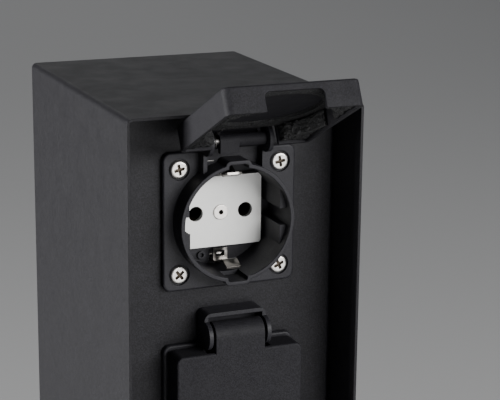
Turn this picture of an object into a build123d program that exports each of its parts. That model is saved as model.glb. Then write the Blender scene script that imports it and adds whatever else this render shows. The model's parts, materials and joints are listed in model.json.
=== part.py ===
from build123d import *
import math
import os

os.makedirs("parts", exist_ok=True)

# A garden socket post: a folded steel casing with two panel sockets, each under a sprung lid.
# Sizes are in millimetres. X runs to the right, Y to the back and Z up.
# The origin is the middle of the casing's footprint, at ground level.

# Casing
post_width = 86.6
post_depth = 116.5
post_height = 400.0
casing_sheet = 1.0
casing_bend = 2.0

# Front panel, a tray that stands back from the casing's front edges
panel_recess = 19.9
panel_sheet = 1.0
panel_bend = 1.6
panel_return = 14.0
panel_gap = 0.3

# Places of the two sockets
socket_offset = 0.4
socket_pitch = 70.0
top_socket_drop = 41.9

# Socket flange
flange_side = 50.0
flange_corner = 3.0
flange_sheet = 2.0
flange_edge = 0.8
gasket_sheet = 0.5
gasket_inset = 0.8
screw_spacing = 38.0
screw_bore = 1.9
counterbore = 3.9
counterbore_depth = 1.1

# Socket collar and body
collar_inner = 19.84
collar_wall = 1.5
collar_reach = 8.25
collar_edge = 0.3
key_half_width = 4.9
key_reach = 22.4
key_wall = 1.3
key_corner = 1.9
key_floor = 1.0
body_wall = 1.6
body_depth = 36.0
recess_depth = 17.0
floor_sheet = 2.0
guide_face = 17.1
guide_reach = 4.9
guide_groove = 3.0
guide_height = 10.2
boss_outer = 1.5
boss_inner = 0.8
boss_rise = 1.0
boss_x = -6.4
boss_z = -16.1
wire_port = 2.4

# Contact insert and what it covers
insert_sheet = 3.0
insert_skin = 1.0
insert_half_width = 15.75
insert_top = 13.2
insert_bottom = 12.65
insert_step_left = 11.6
insert_step_low = 7.0
insert_gap = 0.15
pin_spacing = 19.0
pin_hole = 2.75
rivet_head = 2.8
rivet_rise = 0.6
rivet_shank = 1.8
rivet_bore = 0.6
rivet_tail = 2.6
rivet_tail_sheet = 0.8
sleeve_outer = 3.2
sleeve_inner = 2.45
sleeve_length = 13.0
clamp_width = 7.0
clamp_depth = 8.0
clamp_height = 8.0
clamp_bore = 1.6
terminal_screw = 1.4
terminal_screw_head = 2.3
terminal_screw_head_height = 1.4
fit_gap = 0.08

# Earth clip, a U of spring strip
clip_width = 5.5
clip_strip = 0.8
clip_bend = 1.4
clip_arm = 17.9
clip_pinch = 15.3
clip_shoulder = 6.5
clip_pinch_depth = 0.2
clip_tip = 17.1
clip_tip_depth = -4.2
clip_tongue_left = 0.2
clip_stop_low = 13.4
clip_window_half = 1.6
clip_window_low = 14.3
clip_window_high = 16.4
earth_clamp_drop = 10.5
earth_clamp_height = 7.0

# Rear cover of the socket
cover_sheet = 1.6
cover_spigot = 2.0
cover_gap = 0.1

# Hinge on the flange
hinge_forward = 6.35
hinge_rise = 29.5
ear_inner = 10.3
ear_wall = 1.5
ear_radius = 5.0
hood_top = 37.4
hood_roof = 1.4
hood_reach = 6.1
hood_corner = 2.6
cheek_reach = 4.4
cheek_foot = 17.6
pin_radius = 1.25
pin_press_gap = 0.02

# Lid
lid_half_width = 23.9
lid_top = 24.2
lid_bottom = 23.4
lid_front = 11.2
lid_skirt = 9.1
lid_wall = 1.3
lid_plate = 1.4
lid_corner = 2.5
lid_edge = 0.8
lid_notch_half = 12.2
lid_grip_half = 10.4
lid_grip_depth = 6.6
lid_grip_corner = 2.0
lid_play = 0.3
neck_half_width = 9.27
neck_wall = 1.2
neck_tail = 1.6
barrel_radius = 2.3
barrel_left = 7.15
heel_right = -0.1
heel_reach = 4.1
heel_sheet = 2.2
upper_lid_angle = 116.6
lower_lid_angle = 0.0
seal_sheet = 1.2
seal_gap = 0.3
seal_inner = 18.6

# Lid spring
spring_wire = 0.25
spring_radius = 2.2
spring_pitch = 0.78
spring_gap = 0.2
spring_foot = 9.6
spring_foot_side = 3.3
spring_foot_bend = 0.8
spring_foot_angle = 22.0
spring_arm = 6.6
spring_arm_angle = 897.0

# Machine screws and nuts on the flange
flange_screw = 1.75
flange_screw_head = 3.25
flange_screw_head_height = 1.5
flange_screw_length = 9.0
flange_nut_flats = 6.0
flange_nut_height = 2.4
cross_slot = 0.75
cross_length = 3.6
cross_depth = 0.9
head_round_share = 0.6
screw_turns = [12, 10, 25, 40]

# Screws and nuts that hold the panel in the casing
panel_screw = 2.0
panel_screw_head = 4.0
panel_screw_head_height = 2.2
panel_screw_length = 9.0
panel_nut_flats = 7.0
panel_nut_height = 3.2
panel_screw_low = 60.0
panel_screw_high = 235.0

# Base plate
base_sheet = 3.0
base_gap = 0.3
base_corner = 4.0
base_tab_width = 34.0
base_tab_height = 32.0
base_tab_bend = 4.5
anchor_spacing_x = 64.0
anchor_spacing_y = 100.0
anchor_bore = 4.5
cable_hole = 15.0
casing_screw = 2.5
casing_screw_head = 4.75
casing_screw_head_height = 2.6
casing_screw_length = 12.0
casing_screw_height = 20.0
casing_nut_flats = 8.0
casing_nut_height = 4.0

# Cable grommet in the base plate
grommet_lip = 2.6
grommet_lip_sheet = 1.8
grommet_bore = 5.5
grommet_web = 1.6
grommet_gap = 0.1

# Bracket that carries the terminal block
bracket_sheet = 2.0
bracket_bend = 3.5
bracket_height = 118.0
bracket_foot = 18.0
bracket_face = 24.0
bracket_screw = 2.0
bracket_screw_head = 3.8
bracket_screw_head_height = 2.2
bracket_screw_spacing = 28.0

# Terminal block
block_width = 46.0
block_depth = 18.0
block_height = 24.0
block_drop = 26.0
block_corner = 1.5
pole_pitch = 12.5
pole_well = 4.6
pole_clamp = 4.2
pole_clamp_length = 18.0
pole_bore = 1.8
pole_screw = 1.5
pole_screw_head = 2.4
pole_screw_spacing = 10.0
pole_screw_sunk = 1.5
block_screw = 1.4
block_screw_head = 2.6
block_screw_spacing = 39.5
block_screw_head_height = 1.6

# Saddle that holds the supply cable
saddle_bore = 5.2
saddle_sheet = 1.5
saddle_width = 12.0
saddle_half_span = 14.0
saddle_height = 52.0
saddle_screw = 1.75
saddle_screw_head = 3.2
saddle_screw_head_height = 1.8
saddle_screw_edge = 3.5

# Earth stud on the base plate
stud_radius = 2.5
stud_height = 18.0
stud_x = -27.0
stud_y = 6.0
stud_nut_flats = 8.0
stud_nut_height = 4.0
stud_weld = 3.6
stud_weld_height = 1.0
lug_outer = 5.0
lug_sheet = 1.0
lug_neck = 3.2
lug_barrel = 1.9
lug_barrel_length = 6.0
lug_reach = 7.5

# Wires inside the post
wire_radius = 1.35
wire_grip = 2.5
riser_bend = 40.0
riser_shares = (0.2, 0.45, 0.72)
tail_bend = 9.0
drop_shares = (0.16, 0.62)

# How far a cutting shape runs past the face that it opens
overrun = 1.0

# Worked out from the sizes above
half_width = post_width / 2
half_depth = post_depth / 2
inside_half_width = half_width - casing_sheet
panel_face = -half_depth + panel_recess
flange_front = panel_face - gasket_sheet - flange_sheet
upper_centre = post_height - top_socket_drop
lower_centre = upper_centre - socket_pitch
collar_outer = collar_inner + collar_wall
body_outer = collar_inner + body_wall
contact_depth = recess_depth - collar_reach
floor_front = contact_depth + insert_sheet
floor_back = floor_front + floor_sheet
hinge_y = -hinge_forward
hinge_z = hinge_rise
ear_outer = ear_inner + ear_wall
neck_radius = lid_front - hinge_forward
barrel_right = ear_inner - lid_play
heel_tilt = upper_lid_angle - 90
bracket_width = block_width
block_middle = bracket_height - block_drop
saddle_screw_place = saddle_half_span - saddle_screw_edge
pin_place = pin_spacing / 2
screw_place = screw_spacing / 2
clip_back = floor_back + clip_strip / 2
clamp_front = floor_front + sleeve_length
clamp_back = clamp_front + clamp_depth
wire_depth = clamp_front + clamp_depth / 2


def slab_x(face, low, high):
    """Thicken a face drawn in Y and Z between two places along X."""
    return extrude(Plane.YZ.offset(low) * face, amount=high - low)


def slab_y(face, low, high):
    """Thicken a face drawn in X and Z between two places along Y."""
    return extrude(Plane.XZ.offset(-high) * face, amount=high - low)


def slab_z(face, low, high):
    """Thicken a face drawn in X and Y between two places along Z."""
    return extrude(Plane.XY.offset(low) * face, amount=high - low)


def span(first_low, first_high, second_low, second_high):
    """A rectangle given by its four edges."""
    middle = Pos((first_low + first_high) / 2, (second_low + second_high) / 2)
    return middle * Rectangle(first_high - first_low, second_high - second_low)


def block(x_low, x_high, y_low, y_high, z_low, z_high):
    """A box given by its six faces."""
    return slab_z(span(x_low, x_high, y_low, y_high), z_low, z_high)


def hexagon(flats):
    """The outline of a nut, by its width across the flats."""
    return RegularPolygon(flats / 2, 6, major_radius=False)


def ring(outer, inner):
    """A flat ring."""
    return Circle(outer) - Circle(inner)


def four_corners(half_x, half_z):
    """The four corners of a rectangle, from the upper left one round to the lower left one."""
    return [(-half_x, half_z), (half_x, half_z), (half_x, -half_z), (-half_x, -half_z)]


def pan_screw(radius, length, head, head_height):
    """A pan head screw along +Z, with the underside of its head at zero and the shank below."""
    shank = slab_z(Circle(radius), -length, 0)
    top = slab_z(Circle(head), 0, head_height)
    top = fillet(top.edges().sort_by(Axis.Z)[-1:], head_height * head_round_share)
    return top + shank


def crossed(screw, head_height, turn):
    """Cut a cross recess into the top of a screw and turn the screw about itself."""
    slot = block(-cross_length / 2, cross_length / 2, -cross_slot / 2, cross_slot / 2,
                 head_height - cross_depth, head_height + overrun)
    cross = slot + Rot(0, 0, 90) * slot
    return Rot(0, 0, turn) * (screw - cross)


def slotted(screw, head, head_height):
    """Cut a straight slot into the top of a screw."""
    slot = block(-head - overrun, head + overrun, -cross_slot / 2, cross_slot / 2,
                 head_height - cross_depth, head_height + overrun)
    return screw - slot


def bundle(shapes):
    """Keep alike pieces together as separate solids."""
    solids = []
    for shape in shapes:
        solids.extend(shape.solids())
    return Compound(children=solids)


def socket_height(name):
    """The height of the middle of the upper or the lower socket."""
    return upper_centre if name == "upper" else lower_centre


def at_socket(name, shape):
    """Carry a shape from the socket's own frame to its place on the post."""
    return Pos(socket_offset, flange_front, socket_height(name)) * shape


# The post


def outer_casing():
    """Two sides, a back and a roof folded from one sheet, open at the front and at the foot."""
    outer = block(-half_width, half_width, -half_depth, half_depth, 0, post_height)
    rims = outer.edges().filter_by(Axis.Z).sort_by(Axis.Y)[-2:]
    rims += outer.edges().filter_by(Axis.Y).sort_by(Axis.Z)[-2:]
    rims += outer.edges().filter_by(Axis.X).sort_by(Axis.Y)[-2:].sort_by(Axis.Z)[-1:]
    outer = fillet(rims, casing_bend)
    inner = block(-inside_half_width, inside_half_width, -half_depth, half_depth - casing_sheet,
                  0, post_height - casing_sheet)
    rims = inner.edges().filter_by(Axis.Z).sort_by(Axis.Y)[-2:]
    rims += inner.edges().filter_by(Axis.Y).sort_by(Axis.Z)[-2:]
    rims += inner.edges().filter_by(Axis.X).sort_by(Axis.Y)[-2:].sort_by(Axis.Z)[-1:]
    inner = fillet(rims, casing_bend - casing_sheet)
    mouth = block(-inside_half_width, inside_half_width, -half_depth - overrun, 0,
                  0, post_height - casing_sheet - casing_bend)
    foot = block(-inside_half_width, inside_half_width, 0, half_depth - casing_sheet - casing_bend,
                 -overrun, 0)
    front = slab_y(front_opening(), -half_depth - overrun, -half_depth)
    casing = outer - inner - mouth - foot - front
    for y, z, radius in side_holes():
        casing -= slab_x(Pos(y, z) * Circle(radius), -half_width - overrun, half_width + overrun)
    return casing


def front_opening():
    """The outline of the casing's open front, with the small radius of the roof folds."""
    opening = span(-inside_half_width, inside_half_width, -overrun, post_height - casing_sheet)
    corners = opening.vertices().sort_by(Axis.Y)[-2:]
    return fillet(corners, casing_bend - casing_sheet)


def panel_screw_y():
    """How far back the side screws of the panel sit."""
    return panel_face + panel_return / 2


def side_holes():
    """Depth, height and radius of each pair of screw holes in the casing's sides."""
    return [(panel_screw_y(), panel_screw_low, panel_screw + fit_gap),
            (panel_screw_y(), panel_screw_high, panel_screw + fit_gap),
            (0, casing_screw_height, casing_screw + fit_gap)]


def front_panel():
    """A tray with its returns to the back, holed for the sockets and their screws."""
    half = inside_half_width - panel_gap
    low = base_sheet + panel_gap
    high = post_height - casing_sheet - panel_gap
    tray = block(-half, half, panel_face, panel_face + panel_return, low, high)
    tray = fillet(tray.edges().filter_by(Axis.Z).sort_by(Axis.Y)[:2], panel_bend)
    inside = block(-half + panel_sheet, half - panel_sheet, panel_face + panel_sheet,
                   panel_face + panel_return + overrun, low + panel_sheet, high - panel_sheet)
    inside = fillet(inside.edges().filter_by(Axis.Z).sort_by(Axis.Y)[:2], panel_bend - panel_sheet)
    tray -= inside
    for name in ("upper", "lower"):
        holes = Circle(body_outer + screw_bore / 2)
        for x, z in four_corners(screw_place, screw_place):
            holes += Pos(x, z) * Circle(screw_bore)
        tray -= at_socket(name, slab_y(holes, 0, flange_sheet + gasket_sheet + panel_return / 2))
    for z in (panel_screw_low, panel_screw_high):
        hole = Pos(panel_screw_y(), z) * Circle(panel_screw + fit_gap)
        tray -= slab_x(hole, -half_width - overrun, half_width + overrun)
    return tray


def side_screws(radius, length, head, head_height, y, heights):
    """Screws through both sides of the casing, with their heads outside."""
    screws = []
    for z in heights:
        screw = pan_screw(radius, length, head, head_height)
        screws.append(Pos(half_width, y, z) * Rot(0, 90, 0) * screw)
        screws.append(Pos(-half_width, y, z) * Rot(0, -90, 0) * screw)
    return bundle(screws)


def side_nuts(radius, flats, height, seat, y, heights):
    """Nuts on the inner faces that the side screws pull on."""
    nuts = []
    for z in heights:
        nut = slab_x(Pos(y, z) * (hexagon(flats) - Circle(radius + fit_gap)), seat - height, seat)
        nuts.append(nut)
        nuts.append(mirror(nut, about=Plane.YZ))
    return bundle(nuts)


def panel_screws():
    """Four screws that hold the panel between the casing's sides."""
    return side_screws(panel_screw, panel_screw_length, panel_screw_head, panel_screw_head_height,
                       panel_screw_y(), (panel_screw_low, panel_screw_high))


def panel_nuts():
    """Press nuts in the panel's returns."""
    seat = inside_half_width - panel_gap - panel_sheet
    return side_nuts(panel_screw, panel_nut_flats, panel_nut_height, seat, panel_screw_y(),
                     (panel_screw_low, panel_screw_high))


def base_plate():
    """A plate with two upturned tabs, four anchor holes and the cable hole."""
    half_x = inside_half_width - base_gap
    half_y = half_depth - casing_sheet - base_gap
    plate = slab_z(RectangleRounded(2 * half_x, 2 * half_y, base_corner), 0, base_sheet)
    tab = block(half_x - base_tab_height, half_x, -base_tab_width / 2, base_tab_width / 2,
                0, base_tab_height)
    tab = fillet(tab.edges().filter_by(Axis.Y).sort_by(Axis.Z)[:2].sort_by(Axis.X)[-1:],
                 base_tab_bend)
    hollow = block(half_x - base_tab_height - overrun, half_x - base_sheet,
                   -base_tab_width / 2 - overrun, base_tab_width / 2 + overrun,
                   base_sheet, base_tab_height + overrun)
    hollow = fillet(hollow.edges().filter_by(Axis.Y).sort_by(Axis.Z)[:2].sort_by(Axis.X)[-1:],
                    base_tab_bend - base_sheet)
    corners = tab.edges().filter_by(Axis.X).sort_by(Axis.Z)[-2:]
    tab = fillet(corners, base_corner) - hollow
    notch = block(half_x - base_tab_bend, half_x + overrun, -base_tab_width / 2,
                  base_tab_width / 2, -overrun, base_sheet + overrun)
    plate = plate - notch - mirror(notch, about=Plane.YZ) + tab + mirror(tab, about=Plane.YZ)
    holes = Circle(cable_hole)
    for x, y in four_corners(anchor_spacing_x / 2, anchor_spacing_y / 2):
        holes += Pos(x, y) * Circle(anchor_bore)
    foot_y = bracket_face + bracket_foot / 2 + bracket_sheet
    for side in (-1, 1):
        holes += Pos(side * bracket_screw_spacing / 2, foot_y) * Circle(bracket_screw + fit_gap)
    plate -= slab_z(holes, -overrun, base_sheet + overrun)
    hole = Pos(0, casing_screw_height) * Circle(casing_screw + fit_gap)
    return plate - slab_x(hole, -half_width, half_width)


def casing_screws():
    """Two screws that hold the casing on the base plate's tabs."""
    return side_screws(casing_screw, casing_screw_length, casing_screw_head,
                       casing_screw_head_height, 0, (casing_screw_height,))


def casing_nuts():
    """Press nuts inside the base plate's tabs."""
    seat = inside_half_width - base_gap - base_sheet
    return side_nuts(casing_screw, casing_nut_flats, casing_nut_height, seat, 0,
                     (casing_screw_height,))


def cable_grommet():
    """A rubber grommet in the cable hole, turned as one ring with a tapered throat."""
    lip = cable_hole + grommet_lip
    neck = cable_hole - grommet_gap
    top = base_sheet + grommet_lip_sheet
    points = [(grommet_bore, base_sheet), (grommet_bore, base_sheet + grommet_web),
              (neck - grommet_lip, top), (lip - grommet_lip_sheet, top), (lip, base_sheet),
              (neck, base_sheet), (neck, 0), (neck - grommet_lip, 0),
              (neck - grommet_lip, base_sheet)]
    outline = Plane.XZ * Polygon(*points, align=None)
    return revolve(outline, Axis.Z)


def terminal_bracket():
    """A folded angle that stands on the base plate and carries the terminal block."""
    half = bracket_width / 2
    back = bracket_face + bracket_sheet
    outer = block(-half, half, bracket_face, back + bracket_foot, base_sheet,
                  base_sheet + bracket_height)
    outer = fillet(outer.edges().filter_by(Axis.X).sort_by(Axis.Y)[:2].sort_by(Axis.Z)[:1],
                   bracket_bend)
    hollow = block(-half - overrun, half + overrun, back, back + bracket_foot + overrun,
                   base_sheet + bracket_sheet, base_sheet + bracket_height + overrun)
    hollow = fillet(hollow.edges().filter_by(Axis.X).sort_by(Axis.Y)[:2].sort_by(Axis.Z)[:1],
                    bracket_bend - bracket_sheet)
    bracket = outer - hollow
    foot = Circle(bracket_screw + fit_gap)
    for side in (-1, 1):
        place = Pos(side * bracket_screw_spacing / 2, back + bracket_foot / 2)
        bracket -= slab_z(place * foot, base_sheet - overrun, base_sheet + bracket_sheet + overrun)
    holes = Pos(-block_screw_spacing / 2, block_middle) * Circle(block_screw + fit_gap)
    holes += Pos(block_screw_spacing / 2, block_middle) * Circle(block_screw + fit_gap)
    holes += Pos(-saddle_screw_place, saddle_height) * Circle(saddle_screw + fit_gap)
    holes += Pos(saddle_screw_place, saddle_height) * Circle(saddle_screw + fit_gap)
    return bracket - slab_y(holes, bracket_face - overrun, back + overrun)


def bracket_screws():
    """Two screws through the bracket's foot into the base plate."""
    y = bracket_face + bracket_sheet + bracket_foot / 2
    seat = base_sheet + bracket_sheet
    screws = []
    for side in (-1, 1):
        screw = pan_screw(bracket_screw, seat, bracket_screw_head, bracket_screw_head_height)
        screws.append(Pos(side * bracket_screw_spacing / 2, y, seat) * screw)
    return bundle(screws)


def pole_places():
    """The three poles of the terminal block, from left to right."""
    return [-pole_pitch, 0, pole_pitch]


def block_face():
    """The front of the terminal block."""
    return bracket_face - block_depth


def pole_depth():
    """How far back the middle of the clamps lies."""
    return bracket_face - block_depth / 2


def terminal_block():
    """A moulded block with an open well for each pole and screw holes to its front."""
    front = block_face()
    body = slab_y(Pos(0, block_middle) * RectangleRounded(block_width, block_height, block_corner),
                  front, bracket_face)
    low = block_middle - block_height / 2
    high = block_middle + block_height / 2
    for x in pole_places():
        well = Pos(x, pole_depth()) * Rectangle(2 * pole_well, 2 * pole_well)
        body -= slab_z(well, low - overrun, high + overrun)
        for side in (-1, 1):
            place = Pos(x, block_middle + side * pole_screw_spacing / 2)
            body -= slab_y(place * Circle(pole_screw_head + fit_gap), front - overrun, pole_depth())
    for x in (-block_screw_spacing / 2, block_screw_spacing / 2):
        place = Pos(x, block_middle)
        body -= slab_y(place * Circle(block_screw + fit_gap), front - overrun,
                       bracket_face + overrun)
    groove = block(-block_width / 2 - overrun, block_width / 2 + overrun, front - overrun,
                   front + block_corner, block_middle - block_corner / 2,
                   block_middle + block_corner / 2)
    return body - groove


def terminal_clamps():
    """Brass clamp bars, each with a wire bore along it."""
    clamps = []
    half = pole_clamp_length / 2
    for x in pole_places():
        bar = slab_z(Pos(x, pole_depth()) * Rectangle(2 * pole_clamp, 2 * pole_clamp),
                     block_middle - half, block_middle + half)
        bar -= slab_z(Pos(x, pole_depth()) * Circle(pole_bore), block_middle - half - overrun,
                      block_middle + half + overrun)
        for side in (-1, 1):
            place = Pos(x, block_middle + side * pole_screw_spacing / 2)
            bar -= slab_y(place * Circle(pole_screw + fit_gap), pole_depth() - pole_clamp - overrun,
                          pole_depth())
        clamps.append(bar)
    return bundle(clamps)


def terminal_clamp_screws():
    """Two screws for each pole, sunk in the block's front."""
    screws = []
    head = block_face() + pole_screw_sunk
    tip = pole_depth() - pole_bore
    seat = pole_depth() - pole_clamp
    for x in pole_places():
        for side in (-1, 1):
            screw = pan_screw(pole_screw, tip - seat, pole_screw_head, seat - head)
            screw = slotted(screw, pole_screw_head, seat - head)
            height = block_middle + side * pole_screw_spacing / 2
            screws.append(Pos(x, seat, height) * Rot(90, 0, 0) * screw)
    return bundle(screws)


def block_screws():
    """Two screws that hold the block on the bracket."""
    screws = []
    for x in (-block_screw_spacing / 2, block_screw_spacing / 2):
        screw = pan_screw(block_screw, block_depth + bracket_sheet, block_screw_head,
                          block_screw_head_height)
        screws.append(Pos(x, block_face(), block_middle) * Rot(90, 0, 0) * screw)
    return bundle(screws)


def cable_clamp():
    """A saddle strap over the place of the supply cable."""
    arch = Circle(saddle_bore + saddle_sheet)
    arch = Pos(0, bracket_face - saddle_bore) * arch
    legs = span(-saddle_bore - saddle_sheet, saddle_bore + saddle_sheet,
                bracket_face - saddle_bore, bracket_face)
    feet = span(-saddle_half_span, saddle_half_span, bracket_face - saddle_sheet, bracket_face)
    bore = Pos(0, bracket_face - saddle_bore) * Circle(saddle_bore)
    bore += span(-saddle_bore, saddle_bore, bracket_face - saddle_bore, bracket_face + overrun)
    strap = slab_z(arch + legs + feet - bore, saddle_height - saddle_width / 2,
                   saddle_height + saddle_width / 2)
    room = span(-saddle_half_span, saddle_half_span, 0, bracket_face)
    strap &= slab_z(room, saddle_height - saddle_width / 2, saddle_height + saddle_width / 2)
    for side in (-1, 1):
        place = Pos(side * saddle_screw_place, saddle_height)
        strap -= slab_y(place * Circle(saddle_screw + fit_gap), bracket_face - saddle_sheet
                        - overrun, bracket_face + overrun)
    return strap


def cable_clamp_screws():
    """Two screws that hold the saddle on the bracket."""
    screws = []
    for side in (-1, 1):
        screw = pan_screw(saddle_screw, saddle_sheet + bracket_sheet, saddle_screw_head,
                          saddle_screw_head_height)
        place = Pos(side * saddle_screw_place, bracket_face - saddle_sheet, saddle_height)
        screws.append(place * Rot(90, 0, 0) * screw)
    return bundle(screws)


def earth_stud():
    """A threaded stud welded on the base plate."""
    stud = slab_z(Circle(stud_radius), base_sheet, base_sheet + stud_height)
    weld = slab_z(Circle(stud_weld), base_sheet, base_sheet + stud_weld_height)
    return Pos(stud_x, stud_y) * (stud + weld)


def earth_lug():
    """A ring lug on the stud, with its barrel turned up to take the wire."""
    seat = base_sheet + stud_weld_height
    flat = slab_z(Circle(lug_outer) + span(0, lug_reach + lug_barrel, -lug_neck / 2, lug_neck / 2),
                  seat, seat + lug_sheet)
    barrel = slab_z(Pos(lug_reach, 0) * Circle(lug_barrel + lug_sheet / 2), seat,
                    seat + lug_barrel_length)
    lug = flat + barrel - slab_z(Circle(stud_radius + fit_gap), 0, seat + lug_barrel_length)
    return Pos(stud_x, stud_y) * lug


def earth_nut():
    """The nut that holds the lug down on the stud."""
    seat = base_sheet + stud_weld_height + lug_sheet
    nut = slab_z(hexagon(stud_nut_flats) - Circle(stud_radius + fit_gap), seat,
                 seat + stud_nut_height)
    return Pos(stud_x, stud_y) * nut


# The wires


def wire(points, radii):
    """A round wire along straight runs joined by arcs."""
    route = FilletPolyline(*points, radius=radii) if radii else Line(*points)
    start = Plane(origin=route @ 0, z_dir=route % 0)
    return sweep(start * Circle(wire_radius), path=route)


def wire_plane():
    """The depth at which the wires enter the sockets' clamps."""
    return flange_front + wire_depth


def riser(pole_x, end_x, end_z):
    """A wire from a pole of the terminal block up to a clamp of the lower socket."""
    start = block_middle + pole_clamp_length / 2 - wire_grip
    rise = end_z - start
    points = [(pole_x, pole_depth(), start),
              (pole_x, pole_depth(), start + rise * riser_shares[0]),
              (pole_x, pole_depth() / 2, start + rise * riser_shares[1]),
              (end_x, wire_plane(), start + rise * riser_shares[2]),
              (end_x, wire_plane(), end_z)]
    return wire(points, [riser_bend, riser_bend, riser_bend])


def pole_wires(pole_x, contact_x):
    """The two wires of one pole: up to the lower socket, and on to the upper one."""
    x = socket_offset + contact_x
    reach = clamp_height / 2 - wire_grip
    low = lower_centre - reach
    bridge = wire([(x, wire_plane(), lower_centre + reach),
                   (x, wire_plane(), upper_centre - reach)], None)
    return bundle([riser(pole_x, x, low), bridge])


def live_wires():
    """The brown wires."""
    return pole_wires(-pole_pitch, -pin_place)


def neutral_wires():
    """The blue wires."""
    return pole_wires(pole_pitch, pin_place)


def earth_wires():
    """The green and yellow wires: to both sockets and to the stud."""
    x = socket_offset
    reach = earth_clamp_height / 2 - wire_grip
    bridge = wire([(x, wire_plane(), lower_centre - earth_clamp_drop + reach),
                   (x, wire_plane(), upper_centre - earth_clamp_drop - reach)], None)
    lug_top = base_sheet + stud_weld_height + lug_barrel_length
    start = block_middle - pole_clamp_length / 2 + wire_grip
    drop = start - lug_top
    points = [(0, pole_depth(), start),
              (0, pole_depth(), start - drop * drop_shares[0]),
              (stud_x + lug_reach, stud_y, start - drop * drop_shares[1]),
              (stud_x + lug_reach, stud_y, lug_top)]
    tail = wire(points, [tail_bend, tail_bend])
    return bundle([riser(0, x, lower_centre - earth_clamp_drop - reach), bridge, tail])


# One socket, in its own frame: the middle of the flange's front face is at zero


def key_outline(radius, half_width_of_key, reach, corner):
    """A circle with a rounded key above and below it."""
    return Circle(radius) + RectangleRounded(2 * half_width_of_key, 2 * reach, corner)


def flange_face():
    """The square flange with the tongue that stands up behind the hinge."""
    tongue_low = key_reach
    tongue = Pos(0, (tongue_low + hood_top) / 2)
    tongue *= RectangleRounded(2 * ear_outer, hood_top - tongue_low, hood_corner)
    foot = span(-ear_outer, ear_outer, tongue_low, flange_side / 2 + hood_corner)
    return RectangleRounded(flange_side, flange_side, flange_corner) + tongue + foot


def hinge_hood():
    """Two cheeks with round ears and the roof between them."""
    outer = Pos(0, (cheek_foot + hood_top) / 2)
    outer *= RectangleRounded(2 * ear_outer, hood_top - cheek_foot, hood_corner)
    outer += span(-ear_outer, ear_outer, cheek_foot, hood_top - hood_corner)
    room = span(-ear_inner, ear_inner, cheek_foot - overrun, hood_top - hood_roof)
    hood = slab_y(outer - room, -hood_reach, 0)
    low_front = block(-ear_outer - overrun, ear_outer + overrun, -hood_reach - overrun,
                      -cheek_reach, cheek_foot - overrun, hinge_rise - ear_radius)
    hood -= low_front
    ear = slab_x(Pos(hinge_y, hinge_z) * Circle(ear_radius), ear_inner, ear_outer)
    return hood + ear + mirror(ear, about=Plane.YZ)


def side_guides():
    """Ribs on the sides of the recess that guide the plug, with a groove between them."""
    segment = Circle(collar_outer) & span(guide_face, collar_outer, -guide_height, guide_height)
    segment -= span(guide_face - overrun, collar_outer, -guide_groove, guide_groove)
    rib = slab_y(segment, -guide_reach, floor_front)
    return rib + mirror(rib, about=Plane.YZ)


def housing():
    """The moulded body of the socket: flange, collar, recess, terminal chamber and hinge hood."""
    body = slab_y(flange_face(), 0, flange_sheet)
    body = fillet(body.faces().sort_by(Axis.Y)[0].edges(), flange_edge)
    bore = slab_y(Circle(collar_inner), -collar_reach - overrun, floor_front)
    slot = RectangleRounded(2 * (key_half_width - key_wall), 2 * (key_reach - key_wall),
                            key_corner / 2)
    bore += slab_y(slot, -collar_reach - overrun, key_floor)
    collar = key_outline(collar_outer, key_half_width, key_reach, key_corner)
    collar = slab_y(collar, -collar_reach, flange_sheet / 2) - bore
    collar = fillet(collar.edges().group_by(Axis.Y)[0], collar_edge)
    body += collar
    body += slab_y(Circle(body_outer), flange_sheet / 2, body_depth)
    chamber = slab_y(Circle(collar_inner), floor_back, body_depth + overrun)
    boss = slab_y(Pos(boss_x, boss_z) * ring(boss_outer, boss_inner), floor_front - boss_rise,
                  floor_front)
    body = body - bore - chamber + boss + side_guides() + hinge_hood()
    body -= slab_x(Pos(hinge_y, hinge_z) * Circle(pin_radius + pin_press_gap),
                   -ear_inner - ear_wall / 2, ear_outer + overrun)
    floor = Circle(rivet_shank + fit_gap)
    for x in (-pin_place, pin_place):
        floor += Pos(x, 0) * Circle(sleeve_outer + fit_gap)
    slot_low = clip_arm - clip_strip - clip_bend
    slot_high = clip_arm + clip_strip
    slot = span(-clip_width / 2 - insert_gap, clip_width / 2 + insert_gap, slot_low, slot_high)
    floor += slot + mirror(slot, about=Plane.XZ)
    body -= slab_y(floor, floor_front - overrun, floor_back + overrun)
    for x, z in four_corners(screw_place, screw_place):
        body -= slab_y(Pos(x, z) * Circle(screw_bore), -overrun, flange_sheet + overrun)
        body -= slab_y(Pos(x, z) * Circle(counterbore), -overrun, counterbore_depth)
    for x in (-pin_place, 0, pin_place):
        body -= slab_z(Pos(x, wire_depth) * Circle(wire_port), -body_outer - overrun,
                       body_outer + overrun)
    return body


def gasket():
    """The foam gasket between the flange and the panel."""
    half = flange_side / 2 - gasket_inset
    face = RectangleRounded(2 * half, 2 * half, flange_corner) - Circle(body_outer + gasket_inset / 2)
    for x, z in four_corners(screw_place, screw_place):
        face -= Pos(x, z) * Circle(screw_bore)
    return slab_y(face, flange_sheet, flange_sheet + gasket_sheet)


def contact_insert():
    """The pale plate with a step at its lower left, two pin holes and a well behind each hole."""
    outline = span(-insert_half_width, insert_half_width, -insert_bottom, insert_top)
    outline -= span(-insert_half_width, -insert_step_left, -insert_bottom, -insert_step_low)
    face = Circle(collar_inner - insert_gap) & outline
    for x in (-pin_place, pin_place):
        face -= Pos(x, 0) * Circle(pin_hole)
    face -= Circle(rivet_shank + fit_gap)
    plate = slab_y(face, contact_depth, floor_front)
    wells = Pos(-pin_place, 0) * Circle(sleeve_outer + fit_gap)
    wells += Pos(pin_place, 0) * Circle(sleeve_outer + fit_gap)
    return plate - slab_y(wells, contact_depth + insert_skin, floor_front)


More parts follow.
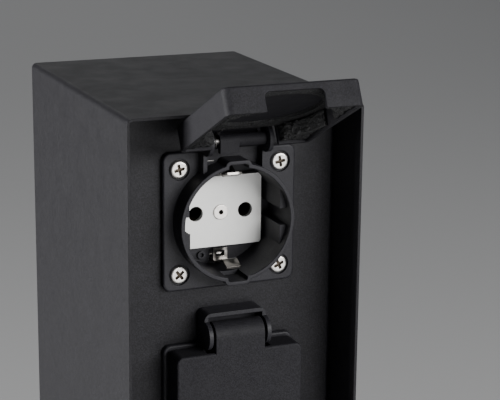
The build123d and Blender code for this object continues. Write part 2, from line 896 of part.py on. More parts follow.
def insert_rivet():
    """The hollow rivet that holds the insert and the earth clip on the floor."""
    front = contact_depth - rivet_rise
    back = floor_back + clip_strip
    head = slab_y(Circle(rivet_head), front, contact_depth)
    head = fillet(head.edges().sort_by(Axis.Y)[:1], rivet_rise / 2)
    shank = slab_y(Circle(rivet_shank), contact_depth, back)
    tail = slab_y(Circle(rivet_tail), back, back + rivet_tail_sheet)
    dot = slab_y(Circle(rivet_bore), front - overrun, contact_depth + insert_sheet)
    return head + shank + tail - dot


def clip_arm_face(side):
    """One arm of the clip, drawn in Y and Z: out, forward, in to the pinch and out at its tip."""
    points = [(clip_back, 0), (clip_back, side * clip_arm), (clip_shoulder, side * clip_arm),
              (clip_pinch_depth, side * clip_pinch), (clip_tip_depth, side * clip_tip)]
    return trace(FilletPolyline(*points, radius=clip_bend), line_width=clip_strip)


def earth_clip():
    """A U of spring strip behind the floor, with its arms through it, and the earth clamp."""
    strip = slab_x(clip_arm_face(1) + clip_arm_face(-1), -clip_width / 2, clip_width / 2)
    taper = Polygon((-clip_width / 2, clip_shoulder), (clip_tongue_left, clip_pinch_depth),
                    (clip_tongue_left, clip_tip_depth - overrun),
                    (-clip_width / 2 - overrun, clip_tip_depth - overrun),
                    (-clip_width / 2 - overrun, clip_shoulder), align=None)
    strip -= slab_z(taper, -clip_arm - overrun, clip_arm + overrun)
    stop = span(-clip_width / 2, clip_width / 2, clip_stop_low, clip_arm)
    stop -= span(-clip_window_half, clip_window_half, clip_window_low, clip_window_high)
    stop = slab_y(stop, contact_depth, contact_depth + clip_strip)
    strip += stop + mirror(stop, about=Plane.XY)
    strip -= slab_y(Circle(rivet_shank + fit_gap), floor_back - overrun, clip_back + overrun)
    half = earth_clamp_height / 2
    clamp = block(-clamp_width / 2, clamp_width / 2, clamp_front, clamp_back,
                  -earth_clamp_drop - half, -earth_clamp_drop + half)
    clamp += block(-clip_width / 2, clip_width / 2, clip_back, clamp_front + overrun,
                   -earth_clamp_drop - clip_strip / 2, -earth_clamp_drop + clip_strip / 2)
    clamp -= slab_z(Pos(0, wire_depth) * Circle(clamp_bore), -earth_clamp_drop - half - overrun,
                    -earth_clamp_drop + half + overrun)
    screw = Pos(0, -earth_clamp_drop) * Circle(terminal_screw + fit_gap)
    return strip + clamp - slab_y(screw, wire_depth, clamp_back + overrun)


def contact_sleeves():
    """Two round contact sleeves, each with its wire clamp."""
    sleeves = []
    for x in (-pin_place, pin_place):
        sleeve = slab_y(Pos(x, 0) * ring(sleeve_outer, sleeve_inner), floor_front, clamp_front)
        clamp = block(x - clamp_width / 2, x + clamp_width / 2, clamp_front, clamp_back,
                      -clamp_height / 2, clamp_height / 2)
        clamp -= slab_z(Pos(x, wire_depth) * Circle(clamp_bore), -clamp_height / 2 - overrun,
                        clamp_height / 2 + overrun)
        screw = Pos(x, 0) * Circle(terminal_screw + fit_gap)
        clamp -= slab_y(screw, wire_depth, clamp_back + overrun)
        sleeves.append(sleeve + clamp)
    return bundle(sleeves)


def terminal_screws():
    """The three clamp screws at the back of the socket."""
    screws = []
    for x, z in ((-pin_place, 0), (0, -earth_clamp_drop), (pin_place, 0)):
        screw = pan_screw(terminal_screw, clamp_back - wire_depth - clamp_bore,
                          terminal_screw_head, terminal_screw_head_height)
        screw = slotted(screw, terminal_screw_head, terminal_screw_head_height)
        screws.append(Pos(x, clamp_back, z) * Rot(-90, 0, 0) * screw)
    return bundle(screws)


def flange_screws():
    """Four cross recess screws, each turned as it was left."""
    screws = []
    for (x, z), turn in zip(four_corners(screw_place, screw_place), screw_turns):
        screw = pan_screw(flange_screw, flange_screw_length, flange_screw_head,
                          flange_screw_head_height)
        screw = crossed(screw, flange_screw_head_height, turn)
        screws.append(Pos(x, counterbore_depth, z) * Rot(90, 0, 0) * screw)
    return bundle(screws)


def flange_nuts():
    """Four nuts behind the panel."""
    seat = flange_sheet + gasket_sheet + panel_sheet
    nuts = []
    for x, z in four_corners(screw_place, screw_place):
        face = hexagon(flange_nut_flats) - Circle(flange_screw + fit_gap)
        nuts.append(slab_y(Pos(x, z) * face, seat, seat + flange_nut_height))
    return bundle(nuts)


def rear_cover():
    """The cap that closes the terminal chamber."""
    cap = slab_y(Circle(body_outer), body_depth, body_depth + cover_sheet)
    spigot = ring(collar_inner - cover_gap, collar_inner - cover_gap - cover_sheet)
    cap += slab_y(spigot, body_depth - cover_spigot, body_depth)
    return cap


def lid_shell():
    """The shallow cap of the lid, closed over the collar."""
    height = lid_top + lid_bottom
    middle = Pos(0, (lid_top - lid_bottom) / 2)
    face = middle * RectangleRounded(2 * lid_half_width, height, lid_corner)
    shell = slab_y(face, -lid_front, -lid_front + lid_skirt)
    rim = shell.faces().sort_by(Axis.Y)[0].edges()
    shell = fillet(rim, lid_edge)
    inner = middle * RectangleRounded(2 * (lid_half_width - lid_wall), height - 2 * lid_wall,
                                      lid_corner - lid_wall)
    shell -= slab_y(inner, -lid_front + lid_plate, -lid_front + lid_skirt + overrun)
    notch = block(-lid_notch_half, lid_notch_half, -lid_front + lid_plate,
                  -lid_front + lid_skirt + overrun, 0, lid_top + overrun)
    rim_place = -lid_front + lid_skirt
    grip = span(-lid_grip_half, lid_grip_half, rim_place - lid_grip_depth, rim_place + overrun)
    grip = fillet(grip.vertices().sort_by(Axis.Y)[:2], lid_grip_corner)
    return shell - notch - slab_z(grip, -lid_bottom - overrun, 0)


def lid_neck():
    """The neck that bends round the hinge pin, with its barrel and its heel."""
    flank = span(-lid_front, -lid_front + lid_plate, lid_top - lid_corner, hinge_z)
    bend = Pos(hinge_y, hinge_z) * ring(neck_radius, neck_radius - lid_plate)
    bend &= span(-lid_front, hinge_y + neck_tail, hinge_z, hinge_z + neck_radius)
    neck = slab_x(flank + bend, -neck_half_width, neck_half_width)
    web = Pos(hinge_y, hinge_z) * (Circle(neck_radius) & span(-neck_radius, 0, 0, neck_radius))
    neck += slab_x(web, -barrel_left, -barrel_left + neck_wall)
    neck += slab_x(web, neck_half_width - neck_wall, neck_half_width)
    barrel = Pos(hinge_y, hinge_z) * Circle(barrel_radius)
    neck += slab_x(barrel, -barrel_left, barrel_right)
    heel = span(0, heel_reach, -barrel_radius, heel_sheet - barrel_radius)
    heel = Pos(hinge_y, hinge_z) * Rot(0, 0, heel_tilt) * heel
    neck += slab_x(heel, -barrel_left, heel_right)
    return neck


def lid():
    """The lid with its neck, bored for the hinge pin."""
    bore = slab_x(Pos(hinge_y, hinge_z) * Circle(pin_radius + fit_gap), -ear_outer, ear_outer)
    return lid_shell() + lid_neck() - bore


def lid_seal():
    """The foam pad in the lid that meets the collar, square outside and round inside."""
    side = lid_half_width - lid_wall - seal_gap
    low = lid_wall + seal_gap - lid_bottom
    high = lid_top - lid_wall - seal_gap
    pad = Pos(0, (low + high) / 2) * RectangleRounded(2 * side, high - low, lid_corner - lid_wall)
    back = -lid_front + lid_plate
    return slab_y(pad - Circle(seal_inner), back, back + seal_sheet)


def opened(shape, angle):
    """Turn a piece of the lid about the hinge pin, forward and up from its closed place."""
    return Pos(0, hinge_y, hinge_z) * Rot(-angle, 0, 0) * Pos(0, -hinge_y, -hinge_z) * shape


def hinge_pin():
    """The steel pin from the blind bore of one ear through the other."""
    return slab_x(Pos(hinge_y, hinge_z) * Circle(pin_radius), -ear_inner - ear_wall / 2, ear_outer)


def spring_point(turn):
    """A point of the coil's centre line, some turns from the foot."""
    angle = math.radians(spring_foot_angle + 360 * turn)
    return Vector(-ear_inner + spring_gap + spring_wire + turn * spring_pitch,
                  hinge_y + spring_radius * math.cos(angle),
                  hinge_z + spring_radius * math.sin(angle))


def spring_path(angle):
    """The centre line: a foot turned along the flange, quarter turns round the pin and an arm."""
    turns = (spring_arm_angle - angle - spring_foot_angle) / 360
    points = [spring_point(step / 4) for step in range(int(4 * turns) + 1)]
    points.append(spring_point(turns))
    lean = math.radians(spring_foot_angle)
    corner = points[0] + Vector(0, math.sin(lean), -math.cos(lean)) * spring_foot
    foot = FilletPolyline(corner + Vector(spring_foot_side, 0, 0), corner, points[0],
                          radius=spring_foot_bend)
    edges = [foot]
    for point in points[1:]:
        edges.append(TangentArc(edges[-1] @ 1, point, tangent=edges[-1] % 1))
    edges.append(Line(edges[-1] @ 1, (edges[-1] @ 1) + (edges[-1] % 1) * spring_arm))
    return Wire(foot.edges() + edges[1:])


def spring_room(turns):
    """The least gap between neighbouring turns, measured on points of the coil."""
    steps = int(turns * 36)
    points = [spring_point(step / 36) for step in range(steps)]
    pairs = [(points[i] - points[j]).length for i in range(steps) for j in range(i + 18, steps)]
    return min(pairs) - 2 * spring_wire


def lid_spring(angle):
    """A torsion spring round the hinge pin, at the lid's angle."""
    path = spring_path(angle)
    start = Plane(origin=path @ 0, z_dir=path % 0)
    return sweep(start * Circle(spring_wire), path=path)


moving = {"upper": upper_lid_angle, "lower": lower_lid_angle}

post = {
    "outer_casing": outer_casing,
    "front_panel": front_panel,
    "panel_screws": panel_screws,
    "panel_nuts": panel_nuts,
    "base_plate": base_plate,
    "casing_screws": casing_screws,
    "casing_nuts": casing_nuts,
    "cable_grommet": cable_grommet,
    "terminal_bracket": terminal_bracket,
    "bracket_screws": bracket_screws,
    "terminal_block": terminal_block,
    "terminal_clamps": terminal_clamps,
    "terminal_clamp_screws": terminal_clamp_screws,
    "block_screws": block_screws,
    "cable_clamp": cable_clamp,
    "cable_clamp_screws": cable_clamp_screws,
    "earth_stud": earth_stud,
    "earth_lug": earth_lug,
    "earth_nut": earth_nut,
    "live_wires": live_wires,
    "neutral_wires": neutral_wires,
    "earth_wires": earth_wires,
}

fixed = {
    "housing": housing,
    "gasket": gasket,
    "contact_insert": contact_insert,
    "insert_rivet": insert_rivet,
    "earth_clip": earth_clip,
    "contact_sleeves": contact_sleeves,
    "terminal_screws": terminal_screws,
    "flange_screws": flange_screws,
    "flange_nuts": flange_nuts,
    "rear_cover": rear_cover,
    "hinge_pin": hinge_pin,
}

for node, make in post.items():
    export_step(make(), "parts/" + node + ".step")

for node, make in fixed.items():
    shape = make()
    for name in moving:
        export_step(at_socket(name, shape), "parts/" + name + "_" + node + ".step")

for node, make in {"lid": lid, "lid_seal": lid_seal}.items():
    shape = make()
    for name, angle in moving.items():
        export_step(at_socket(name, opened(shape, angle)), "parts/" + name + "_" + node + ".step")

print("least gap between the spring's turns", round(spring_room(2), 2))
for name, angle in moving.items():
    export_step(at_socket(name, lid_spring(angle)), "parts/" + name + "_lid_spring.step")
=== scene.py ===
import json
import math

import bmesh
import bpy
from mathutils import Matrix, Vector, noise


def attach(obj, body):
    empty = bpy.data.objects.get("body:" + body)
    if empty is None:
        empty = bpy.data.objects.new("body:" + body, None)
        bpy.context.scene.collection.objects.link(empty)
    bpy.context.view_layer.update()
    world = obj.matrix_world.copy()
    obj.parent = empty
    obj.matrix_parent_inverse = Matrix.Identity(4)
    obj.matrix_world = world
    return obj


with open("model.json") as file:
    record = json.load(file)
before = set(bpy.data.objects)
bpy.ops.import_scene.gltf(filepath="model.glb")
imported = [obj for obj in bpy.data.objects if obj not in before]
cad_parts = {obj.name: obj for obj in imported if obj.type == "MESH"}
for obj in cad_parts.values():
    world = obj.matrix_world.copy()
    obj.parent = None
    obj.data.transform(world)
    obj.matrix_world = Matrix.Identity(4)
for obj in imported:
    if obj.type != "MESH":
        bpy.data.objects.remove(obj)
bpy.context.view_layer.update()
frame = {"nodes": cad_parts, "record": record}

nodes = frame["nodes"]

MM = 0.001

# Camera of the photograph, from the fit to the socket flange
PHOTO_WIDTH_PX = 500
FOCAL_PX = 1628.15
SENSOR_MM = 36.0
CAMERA_AZIMUTH = 23.12
CAMERA_ELEVATION = 14.58
CAMERA_ROLL = 0.61
CAMERA_PLACE_MM = (-210.63, -553.11, 508.76)

# Places of the two sockets: middle of each flange's front, and the hinge of its lid
FLANGE_X_MM = 0.4
FLANGE_Y_MM = -40.85
SOCKET_Z_MM = {"upper": 358.1, "lower": 288.1}
HINGE_FORWARD_MM = 6.35
HINGE_RISE_MM = 29.5
LID_ANGLE = {"upper": 116.6, "lower": 0.0}
SCREW_PLACE_MM = 19.0
SCREW_HEAD_MM = 2.25
CROSS_DEPTH_MM = 0.36
BELOW_FLANGE_MM = 2.0
CROSS_EDGE_MM = 0.5
RIVET_HOLE_MM = 0.45
RIVET_RING_MM = 0.9
SLEEVE_MOUTH_Y_MM = -20.0

# Foam in the corners of each lid, around the collar
FOAM_HOLE_MM = 21.9
FOAM_SIDE_MM = 22.3
FOAM_TOP_MM = 22.6
FOAM_BOTTOM_MM = -21.8
FOAM_BACK_MM = -8.5
FOAM_RIM_MM = -2.7
FOAM_HINGE_GAP_MM = 12.6
FOAM_GRIP_GAP_MM = 11.4
FOAM_BUMP_MM = 0.9
FOAM_SEED = 7
FOAM_HOLE_EDGE_MM = 0.2
FOAM_COLUMNS = 32
FOAM_ROWS = 26
FOAM_LAYERS = 18
FOAM_COARSE_PER_MM = 0.55
FOAM_FINE_PER_MM = 1.2
FOAM_PULL_SHARE = 0.6
FOAM_SHRINK_SHARE = 0.7
FOAM_ROUGH_SHARE = 0.5

BRASS = (0.70, 0.50, 0.20)
BRASS_ROUGH = 0.30


# Camera, light and floor


def add_camera():
    """The camera at the photograph's viewing angle."""
    azimuth = math.radians(CAMERA_AZIMUTH)
    elevation = math.radians(CAMERA_ELEVATION)
    roll = math.radians(CAMERA_ROLL)
    forward = Vector((math.sin(azimuth) * math.cos(elevation),
                      math.cos(azimuth) * math.cos(elevation), -math.sin(elevation)))
    right = Vector((math.cos(azimuth), -math.sin(azimuth), 0.0))
    up = right.cross(forward)
    side = right * math.cos(roll) + up * math.sin(roll)
    top = up * math.cos(roll) - right * math.sin(roll)
    data = bpy.data.cameras.new("camera")
    data.sensor_width = SENSOR_MM
    data.lens = FOCAL_PX * SENSOR_MM / PHOTO_WIDTH_PX
    data.clip_start = 0.01
    data.clip_end = 20.0
    camera = bpy.data.objects.new("camera", data)
    turn = Matrix((side, top, -forward)).transposed().to_4x4()
    camera.matrix_world = Matrix.Translation(Vector(CAMERA_PLACE_MM) * MM) @ turn
    bpy.context.scene.collection.objects.link(camera)
    bpy.context.scene.camera = camera


def add_area(name, place, target, width, height, power):
    """A soft light aimed at a point."""
    data = bpy.data.lights.new(name, "AREA")
    data.shape = "RECTANGLE"
    data.size = width
    data.size_y = height
    data.energy = power
    light = bpy.data.objects.new(name, data)
    aim = (Vector(target) - Vector(place)).to_track_quat("-Z", "Y")
    light.matrix_world = Matrix.Translation(Vector(place)) @ aim.to_matrix().to_4x4()
    bpy.context.scene.collection.objects.link(light)


def add_lights():
    """A wide key light and a low one from the front, one from the left and two behind."""
    middle = (0.0, -0.04, 0.33)
    add_area("key", (0.74, -1.30, 0.84), middle, 1.4, 0.5, 42.0)
    add_area("low", (0.15, -1.40, 0.12), middle, 0.8, 0.3, 6.0)
    add_area("left", (-1.6, 0.20, 0.36), middle, 0.7, 0.6, 72.0)
    add_area("overhead", (0.9, 1.2, 1.5), middle, 1.0, 1.0, 1.0)
    add_area("back", (0.5, 3.5, 2.6), (0.8, 3.2, 0.0), 2.0, 2.0, 25.5)
    world = bpy.data.worlds.new("studio")
    bpy.context.scene.world = world
    world.use_nodes = True
    background = world.node_tree.nodes["Background"]
    background.inputs["Color"].default_value = (0.78, 0.80, 0.84, 1.0)
    background.inputs["Strength"].default_value = 0.18


def add_floor():
    """A plain pale floor."""
    mesh = bpy.data.meshes.new("floor")
    half = 6.0
    mesh.from_pydata([(-half, -half, 0), (half, -half, 0), (half, half, 0), (-half, half, 0)],
                     [], [(0, 1, 2, 3)])
    floor = bpy.data.objects.new("floor", mesh)
    bpy.context.scene.collection.objects.link(floor)
    material, shader, _ = new_material("pale_floor")
    shader.inputs["Base Color"].default_value = (0.34, 0.34, 0.34, 1.0)
    shader.inputs["Roughness"].default_value = 0.8
    mesh.materials.append(material)


# Materials


def new_material(name):
    """A material with its shader, and its node tree."""
    material = bpy.data.materials.new(name)
    material.use_nodes = True
    return material, material.node_tree.nodes["Principled BSDF"], material.node_tree


def add_noise(tree, size_mm, detail=2.0, roughness=0.5):
    """A noise whose grains are about one size, in the object's own coordinates."""
    place = tree.nodes.new("ShaderNodeTexCoord")
    grains = tree.nodes.new("ShaderNodeTexNoise")
    grains.inputs["Scale"].default_value = 1.0 / (size_mm * MM)
    grains.inputs["Detail"].default_value = detail
    grains.inputs["Roughness"].default_value = roughness
    tree.links.new(place.outputs["Object"], grains.inputs["Vector"])
    return grains


def add_bump(tree, shader, height, distance_mm, strength=1.0, edge_mm=0.2):
    """Raise the surface by a height field, over edges that are broken by a small radius."""
    edge = tree.nodes.new("ShaderNodeBevel")
    edge.samples = 6
    edge.inputs["Radius"].default_value = edge_mm * MM
    bump = tree.nodes.new("ShaderNodeBump")
    bump.inputs["Distance"].default_value = distance_mm * MM
    bump.inputs["Strength"].default_value = strength
    tree.links.new(height, bump.inputs["Height"])
    tree.links.new(edge.outputs["Normal"], bump.inputs["Normal"])
    tree.links.new(bump.outputs["Normal"], shader.inputs["Normal"])


def add_ramp(tree, source, low, high, low_value, high_value):
    """Map a stretch of a value onto a stretch of greys or a range of values."""
    mapping = tree.nodes.new("ShaderNodeMapRange")
    mapping.inputs["From Min"].default_value = low
    mapping.inputs["From Max"].default_value = high
    mapping.inputs["To Min"].default_value = low_value
    mapping.inputs["To Max"].default_value = high_value
    tree.links.new(source, mapping.inputs["Value"])
    return mapping.outputs["Result"]


def mix_colours(tree, factor, first, second):
    """A colour between two, by a factor."""
    mix = tree.nodes.new("ShaderNodeMix")
    mix.data_type = "RGBA"
    mix.inputs["A"].default_value = (*first, 1.0)
    mix.inputs["B"].default_value = (*second, 1.0)
    tree.links.new(factor, mix.inputs["Factor"])
    return mix.outputs["Result"]


def powder_coat():
    """Fine-textured anthracite powder coat."""
    material, shader, tree = new_material("powder_coat")
    grain = add_noise(tree, 0.55, 3.0, 0.6)
    cloud = add_noise(tree, 9.0, 2.0)
    speck = add_ramp(tree, grain.outputs["Fac"], 0.4, 0.72, 0.0, 1.0)
    colour = mix_colours(tree, speck, (0.0036, 0.0034, 0.0045), (0.0150, 0.0144, 0.0178))
    tree.links.new(colour, shader.inputs["Base Color"])
    shader.inputs["Specular IOR Level"].default_value = 0.22
    rough = add_ramp(tree, cloud.outputs["Fac"], 0.3, 0.7, 0.50, 0.60)
    tree.links.new(rough, shader.inputs["Roughness"])
    add_bump(tree, shader, grain.outputs["Fac"], 0.10, 0.8, 0.35)
    return material


def moulded_plastic(name, dark, light, grain_mm, depth_mm, rough, shine):
    """Black moulded plastic with a fine spark-eroded grain."""
    material, shader, tree = new_material(name)
    shader.inputs["Specular IOR Level"].default_value = shine
    grain = add_noise(tree, grain_mm, 2.0, 0.6)
    cloud = add_noise(tree, 7.0, 2.0)
    speck = add_ramp(tree, grain.outputs["Fac"], 0.35, 0.7, 0.0, 1.0)
    colour = mix_colours(tree, speck, dark, light)
    tree.links.new(colour, shader.inputs["Base Color"])
    value = add_ramp(tree, cloud.outputs["Fac"], 0.3, 0.7, rough - 0.05, rough + 0.05)
    tree.links.new(value, shader.inputs["Roughness"])
    add_bump(tree, shader, grain.outputs["Fac"], depth_mm, 0.7, 0.25)
    return material


def satin_plastic(name, colour, spread, rough, grain_mm=0.8):
    """Smooth plastic with a faint flow in its colour and gloss."""
    material, shader, tree = new_material(name)
    cloud = add_noise(tree, 4.0, 3.0)
    fine = add_noise(tree, grain_mm, 2.0)
    darker = tuple(c * (1.0 - spread) for c in colour)
    factor = add_ramp(tree, cloud.outputs["Fac"], 0.3, 0.7, 0.0, 1.0)
    tree.links.new(mix_colours(tree, factor, darker, colour), shader.inputs["Base Color"])
    value = add_ramp(tree, fine.outputs["Fac"], 0.3, 0.7, rough - 0.04, rough + 0.06)
    tree.links.new(value, shader.inputs["Roughness"])
    add_bump(tree, shader, fine.outputs["Fac"], 0.01, 0.4)
    return material


def plated_metal(name, colour, rough, scratch_mm=0.25):
    """Plated metal with fine turned marks and slightly uneven gloss."""
    material, shader, tree = new_material(name)
    shader.inputs["Metallic"].default_value = 1.0
    cloud = add_noise(tree, 1.5, 3.0)
    fine = add_noise(tree, scratch_mm, 2.0, 0.7)
    darker = tuple(c * 0.8 for c in colour)
    factor = add_ramp(tree, cloud.outputs["Fac"], 0.3, 0.7, 0.0, 1.0)
    tree.links.new(mix_colours(tree, factor, darker, colour), shader.inputs["Base Color"])
    value = add_ramp(tree, fine.outputs["Fac"], 0.3, 0.7, rough - 0.05, rough + 0.10)
    tree.links.new(value, shader.inputs["Roughness"])
    add_bump(tree, shader, fine.outputs["Fac"], 0.008, 0.5, 0.1)
    return material


def calculate(tree, operation, first, second=None):
    """The result of a sum on a value and on a second value or a plain number."""
    node = tree.nodes.new("ShaderNodeMath")
    node.operation = operation
    tree.links.new(first, node.inputs[0])
    if isinstance(second, float):
        node.inputs[1].default_value = second
    elif second is not None:
        tree.links.new(second, node.inputs[1])
    return node.outputs[0]


def within(tree, value, low, high):
    """One where a value lies between two limits, and nought elsewhere."""
    above = calculate(tree, "GREATER_THAN", value, low)
    below = calculate(tree, "LESS_THAN", value, high)
    return calculate(tree, "MULTIPLY", above, below)


def darken(material, mask, dark, rough):
    """Turn a finish dark and dull where a mask is one."""
    tree = material.node_tree
    shader = tree.nodes["Principled BSDF"]
    old = shader.inputs["Base Color"].links[0].from_socket
    mix = tree.nodes.new("ShaderNodeMix")
    mix.data_type = "RGBA"
    tree.links.new(mask, mix.inputs["Factor"])
    tree.links.new(old, mix.inputs["A"])
    mix.inputs["B"].default_value = (*dark, 1.0)
    tree.links.new(mix.outputs["Result"], shader.inputs["Base Color"])
    gloss = shader.inputs["Roughness"].links[0].from_socket
    blend = tree.nodes.new("ShaderNodeMix")
    blend.data_type = "FLOAT"
    tree.links.new(mask, blend.inputs["Factor"])
    tree.links.new(gloss, blend.inputs["A"])
    blend.inputs["B"].default_value = rough
    tree.links.new(blend.outputs["Result"], shader.inputs["Roughness"])


def folded(tree, value, middle_mm, place_mm):
    """Distance from the nearer of two places that lie alike on both sides of a middle."""
    shift = calculate(tree, "SUBTRACT", value, middle_mm * MM)
    fold = calculate(tree, "ABSOLUTE", shift)
    return calculate(tree, "SUBTRACT", fold, place_mm * MM)


def object_place(tree):
    """The object's own coordinates, split into X, Y and Z."""
    place = tree.nodes.new("ShaderNodeTexCoord")
    split = tree.nodes.new("ShaderNodeSeparateXYZ")
    tree.links.new(place.outputs["Object"], split.inputs[0])
    return split.outputs


def axis_distance(tree, place, middle_mm, side_mm, rise_mm):
    """Distance from the nearest of four axes around a middle, along the flange's face."""
    side = folded(tree, place["X"], FLANGE_X_MM, side_mm)
    rise = folded(tree, place["Z"], middle_mm, rise_mm)
    join = tree.nodes.new("ShaderNodeCombineXYZ")
    tree.links.new(side, join.inputs["X"])
    tree.links.new(rise, join.inputs["Y"])
    length = tree.nodes.new("ShaderNodeVectorMath")
    length.operation = "LENGTH"
    tree.links.new(join.outputs[0], length.inputs[0])
    return length.outputs["Value"]


def near_edge(tree, reach_mm):
    """One on surfaces that lie within some distance of an edge."""
    edge = tree.nodes.new("ShaderNodeBevel")
    edge.samples = 8
    edge.inputs["Radius"].default_value = reach_mm * MM
    flat = tree.nodes.new("ShaderNodeNewGeometry")
    turn = tree.nodes.new("ShaderNodeVectorMath")
    turn.operation = "DOT_PRODUCT"
    tree.links.new(edge.outputs["Normal"], turn.inputs[0])
    tree.links.new(flat.outputs["Normal"], turn.inputs[1])
    return within(tree, turn.outputs["Value"], -2.0, 0.985)


def crossed_screws(name, middle_mm):
    """Bright flange screws with painted shade and dirt in their cross recesses."""
    material = plated_metal(name, (0.72, 0.70, 0.67), 0.36)
    tree = material.node_tree
    place = object_place(tree)
    distance = axis_distance(tree, place, middle_mm, SCREW_PLACE_MM, SCREW_PLACE_MM)
    near = within(tree, distance, -1.0, SCREW_HEAD_MM * MM)
    deep = within(tree, place["Y"], (FLANGE_Y_MM - CROSS_DEPTH_MM) * MM,
                  (FLANGE_Y_MM + BELOW_FLANGE_MM) * MM)
    # painted shade and dirt: within each head, the cross recess and the faces next to its edges are
    # painted dark brown and dull
    cross_shade_and_dirt = calculate(tree, "MAXIMUM", deep, near_edge(tree, CROSS_EDGE_MM))
    darken(material, calculate(tree, "MULTIPLY", near, cross_shade_and_dirt), (0.085, 0.070, 0.055), 0.6)
    return material


def ringed_rivet():
    """Pale rivet heads with a painted shade ring round the hole."""
    material = plated_metal("rivet_metal", (0.84, 0.80, 0.76), 0.38)
    tree = material.node_tree
    between = (SOCKET_Z_MM["upper"] + SOCKET_Z_MM["lower"]) / 2
    pitch = SOCKET_Z_MM["upper"] - SOCKET_Z_MM["lower"]
    distance = axis_distance(tree, object_place(tree), between, 0.0, pitch / 2)
    # painted shade: a dark ring round the hole stands in for the shade inside the hollow rivet
    ring = within(tree, distance, RIVET_HOLE_MM * MM, RIVET_RING_MM * MM)
    darken(material, ring, (0.030, 0.027, 0.025), 0.5)
    return material


def sleeve_brass():
    """Brass with painted shade inside the mouth of each sleeve, where it is dark and dull."""
    material = plated_metal("sleeve_brass", BRASS, BRASS_ROUGH)
    tree = material.node_tree
    # painted shade: the sleeve brass in front of the mouth depth is painted nearly black and dull
    mouth = within(tree, object_place(tree)["Y"], -1.0, SLEEVE_MOUTH_Y_MM * MM)
    darken(material, mouth, (0.010, 0.008, 0.005), 0.8)
    return material


def spring_strip():
    """Rolled strip with painted reflections: its colour swings in bands between dark and bright."""
    material, shader, tree = new_material("spring_strip")
    shader.inputs["Metallic"].default_value = 1.0
    reflection_band = add_noise(tree, 3.6, 0.0, 0.4)
    fine = add_noise(tree, 0.3, 2.0, 0.6)
    # painted reflection: dark and bright bands in the metal's colour stand in for reflected
    # surroundings
    factor = add_ramp(tree, reflection_band.outputs["Fac"], 0.42, 0.58, 0.0, 1.0)
    tree.links.new(mix_colours(tree, factor, (0.030, 0.029, 0.027), (0.36, 0.34, 0.32)),
                   shader.inputs["Base Color"])
    rough = add_ramp(tree, fine.outputs["Fac"], 0.3, 0.7, 0.30, 0.40)
    tree.links.new(rough, shader.inputs["Roughness"])
    add_bump(tree, shader, fine.outputs["Fac"], 0.008, 0.5, 0.1)
    return material


def foam_rubber():
    """Open-looking black foam."""
    material, shader, tree = new_material("foam_rubber")
    cell = add_noise(tree, 0.8, 3.0, 0.7)
    factor = add_ramp(tree, cell.outputs["Fac"], 0.5, 0.7, 0.0, 1.0)
    tree.links.new(mix_colours(tree, factor, (0.002, 0.002, 0.0024), (0.010, 0.010, 0.011)),
                   shader.inputs["Base Color"])
    gloss = add_ramp(tree, cell.outputs["Fac"], 0.45, 0.7, 0.75, 0.28)
    tree.links.new(gloss, shader.inputs["Roughness"])
    add_bump(tree, shader, cell.outputs["Fac"], 0.9, 1.0, 0.1)
    return material


def striped_wire():
    """Green wire insulation with a yellow stripe along it."""
    material, shader, tree = new_material("wire_green_yellow")
    place = tree.nodes.new("ShaderNodeTexCoord")
    wave = tree.nodes.new("ShaderNodeTexWave")
    wave.inputs["Scale"].default_value = 95.0
    wave.inputs["Distortion"].default_value = 0.4
    tree.links.new(place.outputs["Object"], wave.inputs["Vector"])
    factor = add_ramp(tree, wave.outputs["Fac"], 0.45, 0.55, 0.0, 1.0)
    tree.links.new(mix_colours(tree, factor, (0.05, 0.30, 0.06), (0.75, 0.62, 0.04)),
                   shader.inputs["Base Color"])
    shader.inputs["Roughness"].default_value = 0.42
    return material


def make_materials():
    """One finish for each material slot of the record."""
    dark = moulded_plastic("dark_plastic", (0.0088, 0.0085, 0.0106), (0.0186, 0.0180, 0.0221),
                           0.45, 0.05, 0.52, 0.24)
    return {
        "coated_steel": powder_coat(),
        "dark_plastic": dark,
        "insert_plastic": satin_plastic("insert_plastic", (0.72, 0.72, 0.70), 0.04, 0.42),
        "pale_plastic": satin_plastic("pale_plastic", (0.72, 0.70, 0.62), 0.08, 0.40),
        "screw_steel": plated_metal("screw_steel", (0.66, 0.63, 0.58), 0.30),
        "spring_steel": plated_metal("spring_steel", (0.16, 0.155, 0.15), 0.32),
        "upper_flange_screws": crossed_screws("upper_screws", SOCKET_Z_MM["upper"]),
        "lower_flange_screws": crossed_screws("lower_screws", SOCKET_Z_MM["lower"]),
        "contact_sleeves": sleeve_brass(),
        "rivet": ringed_rivet(),
        "earth_clip": spring_strip(),
        "lid": moulded_plastic("lid_plastic", (0.0040, 0.0038, 0.0050),
                               (0.0150, 0.0144, 0.0178), 0.45, 0.08, 0.68, 0.20),
        "nickel": plated_metal("nickel", (0.32, 0.31, 0.29), 0.18),
        "zinc_steel": plated_metal("zinc_steel", (0.55, 0.57, 0.60), 0.38, 0.6),
        "black_screw": satin_plastic("black_screw", (0.035, 0.035, 0.038), 0.2, 0.38),
        "brass": plated_metal("brass", BRASS, BRASS_ROUGH),
        "rubber": satin_plastic("rubber", (0.020, 0.020, 0.021), 0.2, 0.62, 0.5),
        "foam": foam_rubber(),
        "wire_brown": satin_plastic("wire_brown", (0.15, 0.065, 0.03), 0.15, 0.42),
        "wire_blue": satin_plastic("wire_blue", (0.03, 0.12, 0.42), 0.15, 0.42),
        "wire_green_yellow": striped_wire(),
    }


def dress_nodes(materials):
    """Give every CAD node its finish."""
    slots = {part["node"]: part["material_slot"] for part in frame["record"]["subparts"]}
    for socket in SOCKET_Z_MM:
        slots[socket + "_flange_screws"] = socket + "_flange_screws"
        slots[socket + "_contact_sleeves"] = "contact_sleeves"
        slots[socket + "_lid"] = "lid"
        slots[socket + "_insert_rivet"] = "rivet"
        slots[socket + "_earth_clip"] = "earth_clip"
        slots[socket + "_lid_spring"] = "spring_steel"
        slots[socket + "_hinge_pin"] = "spring_steel"
    for name, node in nodes.items():
        node.data.materials.clear()
        node.data.materials.append(materials[slots[name]])


# Foam in the corners of the lids


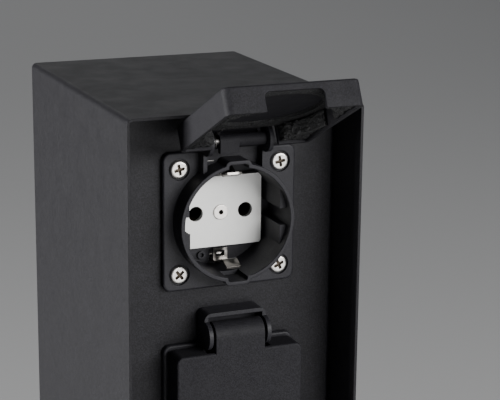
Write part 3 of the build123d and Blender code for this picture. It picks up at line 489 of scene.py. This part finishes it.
def foam_corner(side, top):
    """The surface points and faces of one corner block, over a grid in X, Z and depth."""
    start = FOAM_HINGE_GAP_MM if top else FOAM_GRIP_GAP_MM
    outer = FOAM_TOP_MM if top else FOAM_BOTTOM_MM
    points = {}

    def place(i, j, k):
        x = start + (FOAM_SIDE_MM - start) * i / FOAM_COLUMNS
        across = min(x, FOAM_HOLE_MM - FOAM_HOLE_EDGE_MM)
        inner = math.sqrt(max(FOAM_HOLE_MM ** 2 - across ** 2, 0.0))
        inner = inner if top else -inner
        z = inner + (outer - inner) * k / FOAM_ROWS
        y = FOAM_BACK_MM + (FOAM_RIM_MM - FOAM_BACK_MM) * j / FOAM_LAYERS
        spot = Vector((side * x, y, z))
        coarse = noise.noise_vector(spot * FOAM_COARSE_PER_MM) * FOAM_PULL_SHARE
        pull = coarse + noise.noise_vector(spot * FOAM_FINE_PER_MM) * FOAM_PULL_SHARE
        middle = Vector((side * (start + FOAM_SIDE_MM) / 2, (FOAM_BACK_MM + FOAM_RIM_MM) / 2,
                         (inner + outer) / 2))
        inward = (middle - spot).normalized() * FOAM_BUMP_MM
        spot = spot + inward * (FOAM_SHRINK_SHARE + pull.x) + pull * FOAM_BUMP_MM * FOAM_ROUGH_SHARE
        spot.x = side * min(max(abs(spot.x), start), FOAM_SIDE_MM)
        spot.y = min(max(spot.y, FOAM_BACK_MM), FOAM_RIM_MM)
        spot.z = min(max(spot.z, FOAM_BOTTOM_MM), FOAM_TOP_MM)
        return spot

    corners = []
    faces = []

    def index(i, j, k):
        if (i, j, k) not in points:
            points[i, j, k] = len(corners)
            corners.append(place(i, j, k))
        return points[i, j, k]

    for i in range(FOAM_COLUMNS):
        for k in range(FOAM_ROWS):
            for j in (0, FOAM_LAYERS):
                faces.append([index(i, j, k), index(i + 1, j, k), index(i + 1, j, k + 1),
                              index(i, j, k + 1)])
        for j in range(FOAM_LAYERS):
            for k in (0, FOAM_ROWS):
                faces.append([index(i, j, k), index(i + 1, j, k), index(i + 1, j + 1, k),
                              index(i, j + 1, k)])
    for j in range(FOAM_LAYERS):
        for k in range(FOAM_ROWS):
            for i in (0, FOAM_COLUMNS):
                faces.append([index(i, j, k), index(i, j + 1, k), index(i, j + 1, k + 1),
                              index(i, j, k + 1)])
    return corners, faces


def add_foam(socket, material):
    """The bumpy foam in the four corners of one lid, around the collar."""
    points = []
    faces = []
    for side in (-1, 1):
        for top in (False, True):
            corners, corner_faces = foam_corner(side, top)
            faces += [[len(points) + n for n in face] for face in corner_faces]
            points += corners
    middle = Matrix.Translation(Vector((FLANGE_X_MM, FLANGE_Y_MM, SOCKET_Z_MM[socket])))
    hinge = Matrix.Translation(Vector((0.0, -HINGE_FORWARD_MM, HINGE_RISE_MM)))
    turn = Matrix.Rotation(math.radians(-LID_ANGLE[socket]), 4, "X")
    move = middle @ hinge @ turn @ hinge.inverted()
    mesh = bpy.data.meshes.new(socket + "_lid_foam")
    mesh.from_pydata([(move @ point) * MM for point in points], [], faces)
    foam = bpy.data.objects.new(socket + "_lid_foam", mesh)
    bpy.context.scene.collection.objects.link(foam)
    fix_normals(mesh)
    mesh.materials.append(material)
    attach(foam, socket + "_lid")


def fix_normals(mesh):
    """Turn all faces outward and shade them smooth."""
    work = bmesh.new()
    work.from_mesh(mesh)
    bmesh.ops.recalc_face_normals(work, faces=work.faces)
    work.to_mesh(mesh)
    work.free()
    for face in mesh.polygons:
        face.use_smooth = True


materials = make_materials()
add_camera()
add_lights()
add_floor()
dress_nodes(materials)
noise.seed_set(FOAM_SEED)
for socket in SOCKET_Z_MM:
    add_foam(socket, materials["foam"])
